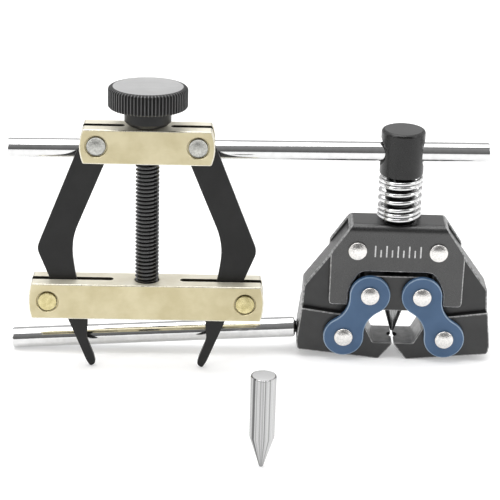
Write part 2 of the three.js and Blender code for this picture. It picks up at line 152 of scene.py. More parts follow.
BREAKER = breaker_frame()
BAR_PLACE = bar_frame()
HOLDING_PLACE = holding_frame()
PULLER = puller_frame()
SPARE_PLACE = spare_frame()


# ---- materials -----------------------------------------------------------------------------------

def node(tree, kind, **values):
    made = tree.nodes.new(kind)
    for key, value in values.items():
        setattr(made, key, value)
    return made


def noise(tree, coordinates, scale, detail, stretch=(1, 1, 1)):
    mapping = node(tree, "ShaderNodeMapping")
    mapping.inputs["Scale"].default_value = stretch
    tree.links.new(coordinates, mapping.inputs["Vector"])
    made = node(tree, "ShaderNodeTexNoise")
    made.inputs["Scale"].default_value = scale
    made.inputs["Detail"].default_value = detail
    tree.links.new(mapping.outputs["Vector"], made.inputs["Vector"])
    return made.outputs["Fac"]


def ramp(tree, value, stops):
    made = node(tree, "ShaderNodeValToRGB")
    elements = made.color_ramp.elements
    while len(elements) < len(stops):
        elements.new(0.5)
    for element, (position, colour) in zip(elements, stops):
        element.position = position
        element.color = (*colour, 1)
    tree.links.new(value, made.inputs["Fac"])
    return made.outputs["Color"]


def span(tree, value, low, high):
    made = node(tree, "ShaderNodeMapRange")
    made.inputs["From Min"].default_value = 0.3
    made.inputs["From Max"].default_value = 0.7
    made.inputs["To Min"].default_value = low
    made.inputs["To Max"].default_value = high
    tree.links.new(value, made.inputs["Value"])
    return made.outputs["Result"]


def grey(level):
    return (level, level, level)


def metal(name, dark, light, metallic, roughness, patch=90, grain=2500, stretch=(1, 1, 1),
          relief=0.012, coat=0.0, specular=0.5):
    """A metal surface: cloudy colour between dark and light, and a fine grain of the given relief
    in millimetres that also varies the roughness. Stretch draws the grain out into brush lines."""
    material = bpy.data.materials.new(name)
    material.use_nodes = True
    tree = material.node_tree
    shader = tree.nodes["Principled BSDF"]
    shader.inputs["Metallic"].default_value = metallic
    shader.inputs["Coat Weight"].default_value = coat
    shader.inputs["Specular IOR Level"].default_value = specular
    place = node(tree, "ShaderNodeTexCoord").outputs["Object"]
    cloud = noise(tree, place, patch, 4)
    fine = noise(tree, place, grain, 3, stretch)
    tree.links.new(ramp(tree, cloud, ((0.35, dark), (0.65, light))), shader.inputs["Base Color"])
    tree.links.new(span(tree, fine, roughness * 0.8, roughness * 1.2), shader.inputs["Roughness"])
    bump = node(tree, "ShaderNodeBump")
    bump.inputs["Distance"].default_value = relief * MM
    bump.inputs["Strength"].default_value = 1
    tree.links.new(fine, bump.inputs["Height"])
    tree.links.new(bump.outputs["Normal"], shader.inputs["Normal"])
    return material


def banded_steel_painted_reflection(name, axis):
    """Steel ground lengthwise, with bright and darker bands along the given upright axis that are painted
    reflections.
    """
    material = metal(name, grey(0.5), grey(0.5), 1.0, 0.2, grain=1500, relief=0.004)
    tree = material.node_tree
    shift = node(tree, "ShaderNodeMapping")
    shift.inputs["Location"].default_value = (-axis.x, -axis.y, 0)
    tree.links.new(node(tree, "ShaderNodeTexCoord").outputs["Object"], shift.inputs["Vector"])
    around = node(tree, "ShaderNodeTexGradient", gradient_type="RADIAL")
    tree.links.new(shift.outputs["Vector"], around.inputs["Vector"])
    bands = noise(tree, around.outputs["Fac"], 13, 2)
    shades = ((0.34, grey(0.11)), (0.43, grey(0.26)), (0.50, grey(0.50)),
              (0.58, grey(0.24)), (0.70, grey(0.62)))
    tree.links.new(ramp(tree, bands, shades), tree.nodes["Principled BSDF"].inputs["Base Color"])
    return material


ALONG_X = (0.06, 1, 1)

BLACK = metal("black_oxide", grey(0.005), grey(0.014), 0.0, 0.30, grain=3200,
              relief=0.05, specular=0.9)
# A lighter copy of the black for the yoke's level top: painted light on the top face.
BLACK_LIT_TOP_PLATE = metal("black_oxide_painted_lit_top", grey(0.024), grey(0.034), 0.0, 0.34,
                        grain=3200, relief=0.03, specular=1.0)
BLACK_CAST = metal("black_oxide_cast", grey(0.004), grey(0.012), 0.0, 0.34,
                   grain=2800, relief=0.06, specular=0.6)
# Rounded edges of the black parts: lighter for edge wear, and also a painted highlight along the edges.
BLACK_EDGE_WEAR_AND_HIGHLIGHT = metal("black_oxide_worn_and_painted_highlight", grey(0.16), grey(0.42), 0.7, 0.34,
                   patch=900, relief=0.02)
BLACK_PLATE = metal("black_plating", grey(0.004), grey(0.008), 0.0, 0.40,
                    grain=3000, relief=0.03, specular=0.34)
# A lighter black for the crests of the knob's flutes: a painted highlight on the crests.
BLACK_CREST_HIGHLIGHT = metal("black_crest_painted_highlight", grey(0.030), grey(0.055), 0.2, 0.34,
                    grain=3000, relief=0.02, specular=0.8)
BLACK_HEAD = metal("black_turned", grey(0.005), grey(0.010), 0.0, 0.28,
                   relief=0.012, specular=0.40)
# A lighter copy of the black for the screw head's top: painted light on the top face.
BLACK_LIT_HEAD_TOP = metal("black_head_painted_lit_top", grey(0.018), grey(0.028), 0.0, 0.36,
                  grain=3000, relief=0.02, specular=1.0)
BLACK_THREAD = metal("black_thread", grey(0.004), grey(0.008), 0.0, 0.20,
                     relief=0.006, specular=0.9)
# Bare steel for the upward faces at the chain seat: wear from the chain, and also painted light on faces
# that look up.
SEAT_WEAR_AND_LIGHT = metal("bare_seat_and_painted_light", grey(0.17), grey(0.25), 0.8, 0.4, patch=300, grain=2500,
             relief=0.02)
FACED = metal("faced_steel", grey(0.58), grey(0.66), 1.0, 0.42, patch=60, grain=1400,
              stretch=ALONG_X, relief=0.01)
BLUE = metal("blue_plate", (0.033, 0.086, 0.178), (0.047, 0.106, 0.208), 0.0, 0.40, grain=3000,
             relief=0.03)
# Rounded edges of the links: lighter for edge wear, and also a painted highlight along the edges.
BLUE_EDGE_WEAR_AND_HIGHLIGHT = metal("blue_plate_worn_and_painted_highlight", (0.14, 0.22, 0.33), (0.30, 0.38, 0.48), 0.5, 0.33, relief=0.02)
NICKEL = metal("nickel_head", (0.62, 0.61, 0.59), (0.78, 0.76, 0.74), 1.0, 0.24, patch=1400,
               relief=0.06)
CHROME = metal("chrome_bar", grey(0.63), grey(0.69), 1.0, 0.07, patch=400,
               grain=1500, stretch=ALONG_X, relief=0.004)
WIRE = metal("spring_wire", grey(0.60), grey(0.72), 1.0, 0.10, patch=900,
             relief=0.006)
# The punches' light and dark bands are painted reflections in the base colour.
PUNCH_PAINTED_REFLECTION = banded_steel_painted_reflection("punch_painted_reflection", BREAKER.translation)
SPARE_PUNCH_PAINTED_REFLECTION = banded_steel_painted_reflection("spare_punch_painted_reflection", SPARE_PLACE.translation)
ZINC = metal("yellow_zinc", (0.50, 0.44, 0.27), (0.59, 0.53, 0.35), 0.8, 0.36, patch=120,
             grain=2200, stretch=(0.25, 1, 1), relief=0.03)
# Rounded edges of the zinc blocks: a paler colour that is a painted highlight along the edges.
ZINC_EDGE_HIGHLIGHT = metal("yellow_zinc_painted_edge_highlight", (0.62, 0.59, 0.48), (0.76, 0.73, 0.63), 0.8, 0.30,
                  patch=500, relief=0.01)
# A paler copy of the zinc for the blocks' level tops: painted light on the top faces.
ZINC_LIT_TOP = metal("yellow_zinc_painted_lit_top", (0.80, 0.75, 0.61), (0.90, 0.86, 0.73), 0.6, 0.42,
                 patch=120, grain=2200, stretch=(0.25, 1, 1), relief=0.02)
# Dark colour for the walls of the arm slots: painted shade inside the slots.
SHADED = metal("slot_wall_painted_shade", (0.012, 0.011, 0.008), (0.030, 0.027, 0.018), 0.0, 0.5, relief=0.02,
               specular=0.2)
BRASS = metal("brass_pin", (0.46, 0.40, 0.20), (0.60, 0.53, 0.29), 1.0, 0.28, patch=600, relief=0.02)
RIVET_STEEL = metal("rivet_steel", (0.34, 0.34, 0.32), (0.48, 0.48, 0.45), 1.0, 0.30, patch=1200,
                    relief=0.05)
MARK = metal("mark_paint", grey(0.50), grey(0.72), 0.0, 0.6, patch=1500, relief=0.01)


# ---- mesh building -------------------------------------------------------------------------------

def thing(name, bm):
    """A Blender object from a bmesh, with its faces pointing out."""
    bmesh.ops.recalc_face_normals(bm, faces=bm.faces)
    mesh = bpy.data.meshes.new(name)
    bm.to_mesh(mesh)
    bm.free()
    obj = bpy.data.objects.new(name, mesh)
    bpy.context.scene.collection.objects.link(obj)
    return obj


def settle(obj):
    """Makes the object's modifiers part of its mesh."""
    bpy.context.view_layer.update()
    seen = obj.evaluated_get(bpy.context.evaluated_depsgraph_get())
    mesh = bpy.data.meshes.new_from_object(seen)
    obj.modifiers.clear()
    obj.data = mesh
    return obj


def combine(obj, operation, others):
    for other in others:
        change = obj.modifiers.new("combine", "BOOLEAN")
        change.operation = operation
        change.solver = "EXACT"
        change.object = other
    settle(obj)
    for other in others:
        bpy.data.objects.remove(other)
    return obj


def cut(obj, *others):
    return combine(obj, "DIFFERENCE", others)


def soften(obj, width, sharp=28, edge_slot=0, segments=3):
    """Rounds every edge sharper than the given angle; edge_slot is the rounded edges' material."""
    while len(obj.data.materials) <= edge_slot:
        obj.data.materials.append(None)
    for polygon in obj.data.polygons:
        polygon.use_smooth = True
    change = obj.modifiers.new("soften", "BEVEL")
    change.width = width
    change.segments = segments
    change.limit_method = "ANGLE"
    change.angle_limit = math.radians(sharp)
    change.use_clamp_overlap = False
    change.material = edge_slot
    return settle(obj)


def curve_corner(before, corner, after, setback):
    start = corner + (before - corner).normalized() * setback
    end = corner + (after - corner).normalized() * setback
    shares = [step / CURVE for step in range(CURVE + 1)]
    return [start * (1 - t) ** 2 + corner * 2 * t * (1 - t) + end * t * t for t in shares]


def outline(corners, side=1):
    """A closed outline from corners (x, z) or (x, z, setback); a setback rounds that corner."""
    places = [Vector(corner[:2]) for corner in corners]
    points = []
    for i, corner in enumerate(corners):
        if len(corner) == 2:
            points.append(places[i])
            continue
        after = places[(i + 1) % len(places)]
        points += curve_corner(places[i - 1], places[i], after, corner[2])
    return [(side * x, z) for x, z in points]


def arc(x, z, radius, start, end, steps=24):
    """Points on an arc around (x, z), with its angles in radians."""
    turns = [start + (end - start) * step / steps for step in range(steps + 1)]
    return [(x + radius * math.cos(turn), z + radius * math.sin(turn)) for turn in turns]


def prism(name, near, far):
    """A solid between two loops with the same number of points."""
    bm = bmesh.new()
    rings = [[bm.verts.new(point) for point in loop] for loop in (near, far)]
    count = len(near)
    for ring in rings:
        bm.faces.new(ring)
    for i in range(count):
        j = (i + 1) % count
        bm.faces.new((rings[0][i], rings[0][j], rings[1][j], rings[1][i]))
    return thing(name, bm)


def plate(name, points, front, back):
    """A flat piece seen from the front, from y = front to y = back."""
    return prism(name, [(x, front, z) for x, z in points], [(x, back, z) for x, z in points])


def skin(bm, rings, segments):
    """Joins rings around Z with faces; a ring of one point closes the end. Gives back the faces,
    each with the number of its row and of its segment."""
    made = []
    for row, (low, high) in enumerate(zip(rings, rings[1:])):
        for i in range(segments):
            j = (i + 1) % segments
            corners = [low[i % len(low)], low[j % len(low)], high[j % len(high)], high[i % len(high)]]
            corners = list(dict.fromkeys(corners))
            if len(corners) > 2:
                made.append((row, i, bm.faces.new(corners)))
    return made


def turned(name, profile, segments=FINE):
    """A turned piece around Z from (radius, z) points that start and end on the axis."""
    bm = bmesh.new()
    rings = []
    for radius, z in profile:
        count = segments if radius else 1
        turns = [2 * math.pi * step / segments for step in range(count)]
        rings.append([bm.verts.new((radius * math.cos(t), radius * math.sin(t), z)) for t in turns])
    skin(bm, rings, segments)
    return thing(name, bm)


def rod(radius, low, high):
    """A plain cylinder around Z, used to cut holes."""
    return turned("cutter", [(0, low), (radius, low), (radius, high), (0, high)])


def moved(obj, x=0, y=0, z=0):
    obj.data.transform(Matrix.Translation((x, y, z)))
    return obj


def along_y(obj):
    obj.data.transform(Matrix.Rotation(math.radians(90), 4, "X"))
    return obj


def along_x(obj):
    obj.data.transform(Matrix.Rotation(math.radians(90), 4, "Y"))
    return obj


def hole_y(radius, place, side=1, reach=FOOT_DEPTH):
    x, z = place
    return moved(along_y(rod(radius, -reach, reach)), x=side * x, z=z)


def face_beyond(obj, height, material_slot):
    """Gives the faces at the given height, the level top, the material of that slot."""
    for face in obj.data.polygons:
        if face.center.z > height - LEVEL:
            face.material_index = material_slot


def publish(obj, place, body, materials, node_name, sharp=34):
    """Puts a finished shape in the shared frame, on its body, in the stead of its CAD node."""
    obj.data.transform(place)
    while len(obj.data.materials) < len(materials):
        obj.data.materials.append(None)
    for slot_number, material in enumerate(materials):
        obj.data.materials[slot_number] = material
    obj.data.shade_smooth()
    obj.data.set_sharp_from_angle(angle=math.radians(sharp))
    weighting = obj.modifiers.new("flat faces", "WEIGHTED_NORMAL")
    weighting.keep_sharp = True
    settle(obj)
    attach(obj, body)
    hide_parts(node_name)
    return obj


def threaded(name, radius, pitch, bottom, top):
    """A rod with a right-hand ISO thread cut to its full length and chamfered ends."""
    minor = radius - 0.6134 * pitch
    profile = ((0, minor), (0.25, minor), (0.5625, radius), (0.6875, radius))
    steps = 48
    rows = 4 * math.ceil((top - bottom) / pitch + 2)
    bm = bmesh.new()
    grid = []
    for row in range(rows + 1):
        turn_count, part = divmod(row, 4)
        share, reach = profile[part]
        ring = []
        for step in range(steps):
            z = bottom + pitch * (turn_count + share - 1 + step / steps)
            z = min(max(z, bottom), top)
            r = min(reach, minor + min(z - bottom, top - z))
            angle = 2 * math.pi * step / steps
            ring.append(bm.verts.new((r * math.cos(angle), r * math.sin(angle), z)))
        grid.append(ring)
    for row in range(rows):
        for step in range(steps):
            last = step == steps - 1
            ahead = 4 if last else 0
            near = grid[min(row + ahead, rows)][(step + 1) % steps]
            far = grid[min(row + 1 + ahead, rows)][(step + 1) % steps]
            corners = list(dict.fromkeys((grid[row][step], near, far, grid[row + 1][step])))
            if len(corners) > 2:
                bm.faces.new(corners)
    bmesh.ops.remove_doubles(bm, verts=bm.verts, dist=0.001)
    bmesh.ops.dissolve_degenerate(bm, edges=bm.edges, dist=0.001)
    bmesh.ops.holes_fill(bm, edges=[edge for edge in bm.edges if edge.is_boundary], sides=0)
    return thing(name, bm)


# ---- breaker -------------------------------------------------------------------------------------

def yoke():
    half = YOKE["depth"] / 2
    inner = half - YOKE["plate"]
    roof = YOKE["top"] - YOKE["plate"]
    section = outline([
        (-half, YOKE["foot"]), (-half, YOKE["top"], YOKE["bend"]), (half, YOKE["top"], YOKE["bend"]),
        (half, YOKE["foot"]), (inner, YOKE["foot"]), (inner, roof, YOKE["bend"] - YOKE["plate"]),
        (-inner, roof, YOKE["bend"] - YOKE["plate"]), (-inner, YOKE["foot"]),
    ])
    right = [
        (CUTOUT["top_half"], CUTOUT["top"], CUTOUT["round"]),
        (CUTOUT["half"], CUTOUT["waist"], CUTOUT["round"]), (CUTOUT["half"], YOKE["foot"], 0.8),
        (YOKE_OUTLINE["shoulder_half"], YOKE["foot"], YOKE_OUTLINE["foot_round"]),
        (YOKE_OUTLINE["shoulder_half"], YOKE_OUTLINE["shoulder"], 1),
        (YOKE_OUTLINE["top_half"], YOKE["top"]),
    ]
    left = [(-corner[0], *corner[1:]) for corner in reversed(right)]
    width = YOKE_OUTLINE["shoulder_half"] + 1
    bent = prism("yoke", [(-width, y, z) for y, z in section], [(width, y, z) for y, z in section])
    face = plate("cutter", outline(right + left), -YOKE["depth"], YOKE["depth"])
    combine(bent, "INTERSECT", [face])
    jaw_pin = pivot("jaw_right_swing")
    cut(bent, rod(YOKE["bore"], YOKE["top"] - 5, YOKE["top"] + 5),
        *(hole_y(PIN["shank"] + CLEAR, jaw_pin, side) for _, side in SIDES))
    soften(bent, EDGE["sheet"], edge_slot=1)
    # The level top takes the lighter black: painted light on the top face.
    face_beyond(bent, YOKE["top"], 2)
    publish(bent, BREAKER, "yoke", [BLACK, BLACK_EDGE_WEAR_AND_HIGHLIGHT, BLACK_LIT_TOP_PLATE], "yoke")


def yoke_ticks():
    """A plain row of painted ticks between the pins, in the place of a printed mark."""
    front = -YOKE["depth"] / 2
    middle = pivot("jaw_right_swing")[1]
    for i in range(TICKS["count"]):
        x = (i - (TICKS["count"] - 1) / 2) * TICKS["pitch"]
        half = TICKS["width"] / 2
        height = TICKS["short"] if i % 2 else TICKS["tall"]
        low = middle - TICKS["tall"] / 2
        points = outline([(x - half, low, 0.2), (x + half, low, 0.2), (x + half, low + height, 0.2),
                          (x - half, low + height, 0.2)])
        tick = plate(f"yoke_tick_{i + 1}", points, front - TICKS["thickness"], front)
        publish(tick, BREAKER, "yoke", [MARK], "yoke")


def domed_pin(name, depth, place, side, body):
    """A pin along Y with a low crowned head at both ends."""
    seat = depth / 2 + CLEAR
    crown, edge = PIN["height"] * 0.5, PIN["height"] * 0.4
    brim = PIN["head"] - edge
    cap = [(brim * step / 6, seat + PIN["height"] - crown * (step / 6) ** 2) for step in range(7)]
    turns = [math.radians(20 + 70 * step / 5) for step in range(6)]
    low = seat + PIN["height"] - crown - edge
    rim = [(brim + edge * math.sin(t), low + edge * math.cos(t)) for t in turns]
    dome = cap + rim + [(PIN["head"], seat)]
    back = dome[::-1]
    front = [(radius, -z) for radius, z in dome]
    shank = PIN["shank"]
    profile = front + [(shank, -seat), (shank, seat)] + back
    pin = along_y(turned(name, profile, 48))
    moved(pin, x=side * place[0], z=place[1])
    publish(pin, BREAKER, body, [NICKEL], name)


JAW_FOOT = (
    (0.4, SEAT - 1), (0.4, SEAT), (8.2, SEAT, 0.6), (11.2, 13.4, 0.8), (14.6, 18.8, 1), (38.3, 22),
    (40, 7, 1.2), (39.3, 3.3, 1.2), (5.6, 0, 0.8),
)
JAW_TONGUE = (
    (14.6, 17), (14.6, 38, 1.5), (12, 40.5, 1), (12, 54.9, 1.5), (20.4, 54.9, 1), (37.7, 31.2, 1),
    (38.4, 19),
)


def jaw(hand, side):
    name = f"jaw_{hand}"
    foot = plate(name, outline(JAW_FOOT, side), -FOOT_DEPTH / 2, FOOT_DEPTH / 2)
    tongue = plate("tongue", outline(JAW_TONGUE, side), -TONGUE_DEPTH / 2, TONGUE_DEPTH / 2)
    soften(foot, EDGE["sheet"], edge_slot=1)
    soften(tongue, EDGE["tongue"], edge_slot=1)
    combine(foot, "UNION", [tongue])
    cut(foot, hole_y(PIN["shank"] + CLEAR, pivot("jaw_right_swing"), side),
        hole_y(PIN["shank"] + OPEN_PIVOT_PLAY, LINK_FOOT, side), rod(TIP_NOTCH, -1, SEAT * 2))
    if side < 0:
        reach = HOLDING["stud_length"] + CLEAR
        stud = rod(HOLDING["stud"] + CLEAR, -reach, reach)
        stud.data.transform(BREAKER.inverted() @ HOLDING_PLACE)
        cut(foot, stud)
    # Upward faces near the chain seat take bare steel: chain wear, and also painted light on faces that
    # look up.
    for face in foot.data.polygons:
        near = abs(face.center.x) < SEAT_WEAR_AND_LIGHT_AREA["half"] and face.normal.z > SEAT_WEAR_AND_LIGHT_AREA["facing"]
        if near and SEAT - SEAT_WEAR_AND_LIGHT_AREA["under"] < face.center.z < SEAT + SEAT_WEAR_AND_LIGHT_AREA["over"]:
            face.material_index = 2
    publish(foot, BREAKER, name, [BLACK_CAST, BLACK_EDGE_WEAR_AND_HIGHLIGHT, SEAT_WEAR_AND_LIGHT], name)


def link_outline(length):
    """Two eyes joined by a waist, all in arcs; the upper eye is around the origin."""
    eye, waist, half = LINK["eye"], LINK["waist"], length / 2
    waist_radius = (half * half + waist * waist - eye * eye) / (2 * (eye - waist))
    waist_x = waist + waist_radius
    turn = math.atan2(half, waist_x)
    pi = math.pi
    return (arc(0, 0, eye, -turn, pi + turn)[:-1]
            + arc(-waist_x, -half, waist_radius, turn, -turn, 10)[:-1]
            + arc(0, -length, eye, pi - turn, 2 * pi + turn)[:-1]
            + arc(waist_x, -half, waist_radius, pi + turn, pi - turn, 10)[:-1])


def link(hand, side, layer, face):
    name = f"link_{face}_{hand}"
    top = pivot(f"link_{hand}_swing")
    run = LINK_FOOT[0] - abs(top[0])
    drop = top[1] - LINK_FOOT[1]
    length = math.hypot(run, drop)
    inner = FOOT_DEPTH / 2 + CLEAR
    near = -inner - LINK["plate"] if layer < 0 else inner
    made = plate(name, link_outline(length), near, near + LINK["plate"])
    soften(made, EDGE["link"], edge_slot=1)
    bore = PIN["shank"] + CLEAR
    cut(made, hole_y(bore, (0, 0)), hole_y(bore, (0, -length)))
    lean = -side * math.atan2(run, drop)
    hang = Matrix.Translation((top[0], 0, top[1])) @ Matrix.Rotation(lean, 4, "Y")
    publish(made, BREAKER @ hang, f"link_{hand}", [BLUE, BLUE_EDGE_WEAR_AND_HIGHLIGHT], name)


def pusher_block():
    half, foot, top = BLOCK["half"], BLOCK["foot"], BLOCK["top"]
    points = outline([(-half, foot, 2), (half, foot, 2), (half, top, 2.5), (-half, top, 2.5)])
    block = plate("pusher_block", points, -FOOT_DEPTH / 2, FOOT_DEPTH / 2)
    soften(block, EDGE["block"], edge_slot=1)
    pin = pivot("link_right_swing")
    cut(block, rod(SCREW["radius"] + CLEAR, foot - 1, top + 1),
        *(hole_y(PIN["shank"] + CLEAR, pin, side) for _, side in SIDES))
    publish(block, BREAKER, "block", [BLACK_CAST, BLACK_EDGE_WEAR_AND_HIGHLIGHT], "pusher_block")


def main_screw():
    radius, bottom, top, chamfer = (HEAD[key] for key in ("radius", "bottom", "top", "chamfer"))
    neck = SCREW["neck"]
    brow = 1.3  # radius of the head's rounded upper edge
    turns = [math.radians(90 * step / 6) for step in range(7)]
    shoulder = [(radius - brow + brow * math.cos(t), top - brow + brow * math.sin(t)) for t in turns]
    head = turned("main_screw_head", [
        (0, bottom - 1), (neck, bottom - 1), (neck, bottom), (radius - chamfer, bottom),
        (radius, bottom + chamfer), *shoulder, (0, top),
    ], 96)
    height = (BREAKER.inverted() @ BAR_PLACE).translation.z
    yaw = Vector(JOINTS["bar_slide"]["axis"])
    turn = Matrix.Rotation(math.atan2(yaw.y, yaw.x), 4, "Z")
    sink, flare = 2.4, 1.3  # depth and width of the rounded mouth at each end of the cross hole
    shares = [step / 6 for step in range(7)]
    mouth = [(BAR["hole"] + flare * t * t, radius - sink + (sink + 0.1) * t) for t in shares]
    bore = turned("cutter", [(0, -radius - 0.1), *((r, -z) for r, z in reversed(mouth)), *mouth,
                             (0, radius + 0.1)])
    along_x(bore)
    bore.data.transform(Matrix.Translation((0, 0, height)) @ turn)
    cut(head, bore)
    soften(head, EDGE["head"], sharp=40)
    socket = rod(PUNCH["stem"] + CLEAR, SCREW["bottom"] - 1, PUNCH["top"] + CLEAR)
    thread = threaded("main_screw_thread", SCREW["radius"], SCREW["pitch"], SCREW["bottom"],
                      bottom - CLEAR)
    cut(thread, socket)
    # The level top of the head takes the lighter black: painted light on the top face.
    face_beyond(head, top, 1)
    publish(head, BREAKER, "screw", [BLACK_HEAD, BLACK_LIT_HEAD_TOP], "main_screw")
    publish(thread, BREAKER, "screw", [BLACK_THREAD], "main_screw", sharp=25)


def spring_height(turns):
    bottom, opened = SPRING_TURNS["bottom"], SPRING_TURNS["open"]
    open_turns = min(max(turns - bottom, 0), opened)
    start = YOKE["top"] + CLEAR + SPRING["wire"]
    return start + (turns - open_turns) * SPRING["closed"] + open_turns * SPRING["open"]


def coil(name, first, last):
    """The spring's wire between two turns, as a tube with flat ends."""
    sides = 14
    steps = round((last - first) * 48)
    bm = bmesh.new()
    rings = []
    for step in range(steps + 1):
        turns = first + (last - first) * step / steps
        angle = 2 * math.pi * turns
        out = Vector((math.cos(angle), math.sin(angle), 0))
        middle = out * SPRING["radius"] + Vector((0, 0, spring_height(turns)))
        ring = []
        for i in range(sides):
            around = 2 * math.pi * i / sides
            offset = out * math.cos(around) + Vector((0, 0, math.sin(around)))
            ring.append(bm.verts.new(middle + offset * SPRING["wire"]))
        rings.append(ring)
    for near, far in zip(rings, rings[1:]):
        for i in range(sides):
            j = (i + 1) % sides
            bm.faces.new((near[i], near[j], far[j], far[i]))
    bm.faces.new(rings[0])
    bm.faces.new(rings[-1])
    return thing(name, bm)


def return_spring():
    """Two lengths of one wire: the lower one stays on the yoke, and the upper one goes down with the
    block."""
    seam = SPRING_TURNS["bottom"] + 2
    end = seam + 1 + SPRING_TURNS["top"]
    floor = YOKE["top"] + CLEAR
    travel = -JOINTS["plunge"]["range_m"][0] / MM
    feed = -JOINTS["screw_feed"]["range_m"][0] / MM
    lower = coil("return_spring_lower", 0, seam)
    upper = coil("return_spring_upper", seam, end)
    joint_height = spring_height(seam)
    top = spring_height(end)
    parts = (
        (lower, "yoke", "plunge", floor, 1 - travel / (joint_height - floor)),
        (upper, "block", "screw_feed", joint_height, 1 - feed / (top - joint_height)),
    )
    for piece, body, joint, anchor, keep in parts:
        publish(piece, BREAKER, body, [WIRE], "return_spring", sharp=60)
        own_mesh(piece)


def round_bar(name, radius, low, high, chamfer):
    """A round bar along Z with softly broken ends."""
    ease = chamfer * 0.3
    return turned(name, [
        (0, low), (radius - chamfer, low), (radius - ease, low + ease), (radius, low + chamfer),
        (radius, high - chamfer), (radius - ease, high - ease), (radius - chamfer, high), (0, high),
    ])


def tommy_bar():
    low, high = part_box("tommy_bar")
    yaw = Vector(JOINTS["bar_slide"]["axis"])
    half = ((high.x - low.x) / MM - 2 * BAR["radius"] * abs(yaw.y)) / (2 * yaw.x)
    bar = round_bar("tommy_bar_round", BAR["radius"], -half, half, BAR["chamfer"])
    publish(bar, BAR_PLACE, "tommy_bar", [CHROME], "tommy_bar")


def holding_bar():
    length = (HOLDING_END - HOLDING_START).length
    neck = HOLDING["neck"]
    bar = round_bar("holding_bar_round", HOLDING["radius"], neck, length, HOLDING["chamfer"])
    stud = threaded("holding_bar_stud", HOLDING["stud"], 1, -HOLDING["stud_length"], neck + 0.1)
    publish(bar, HOLDING_PLACE, "jaw_left", [CHROME], "holding_bar")
    publish(stud, HOLDING_PLACE, "jaw_left", [BLACK_THREAD], "holding_bar", sharp=25)


def cone_height(radius):
    return (radius - CONE["tip"]) / CONE["taper"]


def fitted_punch():
    radius, tip, shoulder = PUNCH["radius"], PUNCH["tip"], PUNCH["shoulder"]
    stem, top = PUNCH["stem"], PUNCH["top"]
    punch = turned("punch_ground", [
        (0, tip), (CONE["tip"] - 0.15, tip), (CONE["tip"], tip + 0.2), (radius, tip + cone_height(radius)),
        (radius, shoulder), (stem, shoulder), (stem, top - 0.5), (stem - 0.5, top), (0, top),
    ])
    publish(punch, BREAKER, "punch", [PUNCH_PAINTED_REFLECTION], "punch")


def spare_punch():
    radius, length, chamfer = SPARE["radius"], SPARE["length"], SPARE["chamfer"]
    punch = turned("spare_punch_ground", [
        (0, 0), (CONE["tip"] - 0.2, 0), (CONE["tip"], 0.25), (radius, cone_height(radius)),
        (radius, length - chamfer), (radius - chamfer * 0.3, length - chamfer * 0.3),
        (radius - chamfer, length), (0, length),
    ])
    face_beyond(punch, length, 1)
    publish(punch, SPARE_PLACE, "spare_punch", [SPARE_PUNCH_PAINTED_REFLECTION, FACED], "spare_punch")


# ---- puller --------------------------------------------------------------------------------------

def slotted_block(name, size, cross_hole, shank, bore):
    """A block with bulged ends, a round-ended slot for each arm and a recessed cross hole per arm."""
    bottom, top, half, bulge = (size[key] for key in ("bottom", "top", "half", "bulge"))
    shares = [step / 12 for step in range(13)]
    right = [(half + 4 * bulge * t * (1 - t), bottom + (top - bottom) * t) for t in shares]
    points = right + [(-x, z) for x, z in reversed(right)]
    block = plate(name, points, -BLOCK_DEPTH / 2, BLOCK_DEPTH / 2)
    soften(block, EDGE["sheet"], edge_slot=1)
    tools = [rod(bore, bottom - 1, top + 1)]
    slot_half = ARM["thickness"] / 2 + CLEAR
    for _, side in SIDES:
        near = size["slot_end"] + slot_half
        far = half + 3 * bulge
        stadium = arc(near, 0, slot_half, math.pi * 1.5, math.pi * 0.5, 16) + [
            (far, slot_half), (far, -slot_half)]
        tools.append(prism(
            "cutter", [(side * x, y, bottom - 1) for x, y in stadium],
            [(side * x, y, top + 1) for x, y in stadium]))
        tools.append(hole_y(shank + CLEAR, cross_hole, side))
        for face in (-1, 1):
            floor = BLOCK_DEPTH / 2 - RECESS["depth"]
            above = BLOCK_DEPTH / 2 + RECESS["over"]
            recess = turned("cutter", [
                (0, floor), (RECESS["radius"], floor),
                (RECESS["radius"], BLOCK_DEPTH / 2 - RECESS["lip"]),
                (RECESS["radius"] + RECESS["mouth"], above), (0, above),
            ])
            recess.data.transform(Matrix.Rotation(math.radians(-90 * face), 4, "X"))
            tools.append(moved(recess, x=side * cross_hole[0], z=cross_hole[1]))
    cut(block, *tools)
    for face in block.data.polygons:
        # Slot walls take the dark colour: painted shade inside the slots.
        walls = abs(face.center.y) < slot_half + 0.1 and abs(face.center.x) > size["slot_end"] - 0.1
        if walls and bottom + 0.1 < face.center.z < top - 0.1:
            face.material_index = 3
        # The level top takes the paler zinc: painted light on the top face.
        elif face.center.z > top - LEVEL:
            face.material_index = 2
    return block


def upper_block():
    bore = PULLER_SCREW["stem"] + CLEAR
    block = slotted_block("puller_upper_block_milled", UPPER_BLOCK, UPPER_RIVET, RIVET_SHANK, bore)
    ring_low, ring_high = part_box("puller_retaining_ring")
    inward = PULLER.inverted()
    ring_top = (inward @ ring_high).z + CLEAR
    ring_radius = (inward @ ring_high - inward @ ring_low).x / 2 + CLEAR
    cut(block, rod(ring_radius, UPPER_BLOCK["bottom"] - 1, ring_top))
    publish(block, PULLER, "puller", [ZINC, ZINC_EDGE_HIGHLIGHT, ZINC_LIT_TOP, SHADED],
            "puller_upper_block")


def lower_block():
    bore = PULLER_SCREW["radius"] + CLEAR
    block = slotted_block("puller_lower_block_milled", LOWER_BLOCK, LOWER_PIN, CROSS_PIN_SHANK, bore)
    publish(block, PULLER, "puller_lower_block", [ZINC, ZINC_EDGE_HIGHLIGHT, ZINC_LIT_TOP, SHADED],
            "puller_lower_block")


